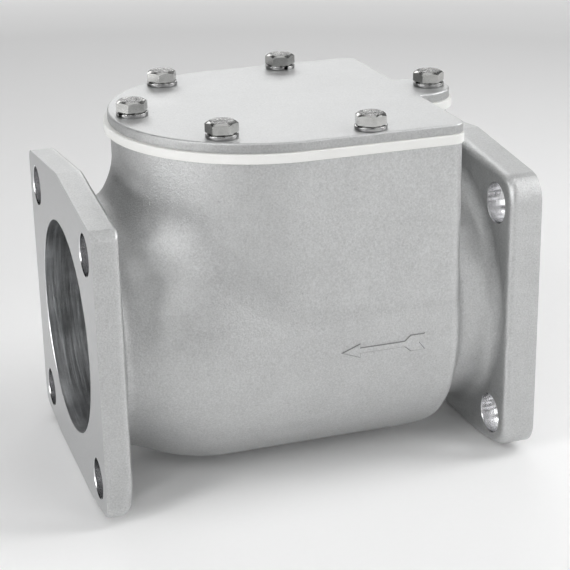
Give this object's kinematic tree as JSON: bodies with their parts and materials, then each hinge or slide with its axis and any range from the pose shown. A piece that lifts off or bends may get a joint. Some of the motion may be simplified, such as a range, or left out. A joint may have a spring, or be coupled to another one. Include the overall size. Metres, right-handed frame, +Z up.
{
  "type": "swing check valve",
  "caption": "Flanged swing check valve: cast body with two square flanges on one straight bore, D-shaped bolted cover, and a hinged flap that closes on a seat inside.",
  "frame": {"origin": "centre of the bore on the outlet flange's machined face", "axes": "+X along the bore from the outlet face to the inlet face, +Y across the bore, +Z up towards the cover"},
  "size_m": [0.211, 0.1444, 0.1783],
  "materials": {
    "cast_aluminium": "shot-blasted casting, matte",
    "gasket_sheet": "smooth white sheet gasket",
    "zinc_steel": "bright zinc plated",
    "spring_steel": "dark spring steel",
    "seat_bronze": "machined bronze",
    "black_rubber": "moulded elastomer",
    "stainless_steel": "machined stainless",
    "machined_aluminium": "turned",
    "bearing_bronze": "plain bearing bronze"
  },
  "bodies": {
    "root": {"body": "cast_aluminium", "cover": "cast_aluminium", "cover_gasket": "gasket_sheet", "cover_screws": "zinc_steel", "lock_washers": "spring_steel", "seat_ring": "seat_bronze", "seat_o_ring": "black_rubber", "hinge_bracket": "stainless_steel", "bracket_screws": "zinc_steel", "bracket_washers": "spring_steel", "hinge_pin": "stainless_steel", "pin_clips": "spring_steel", "thrust_washers": "bearing_bronze"},
    "clapper": {"clapper_arm": "stainless_steel", "arm_bush": "bearing_bronze"},
    "disc": {"clapper_disc": "machined_aluminium", "disc_seal": "black_rubber", "seal_retainer": "machined_aluminium", "retainer_screws": "zinc_steel", "disc_stud": "stainless_steel", "stud_washer": "stainless_steel", "stud_nut": "stainless_steel", "cotter_pin": "zinc_steel"}
  },
  "joints": [
    {"name": "clapper_swing", "type": "hinge", "parent": "root", "child": "clapper", "pos_m": [0.144, 0, 0.066], "axis": [0, 1, 0], "range_deg": [0, 68]},
    {"name": "disc_spin", "type": "hinge", "parent": "clapper", "child": "disc", "pos_m": [0.128, 0, 0], "axis": [1, 0, 0], "continuous": true}
  ]
}
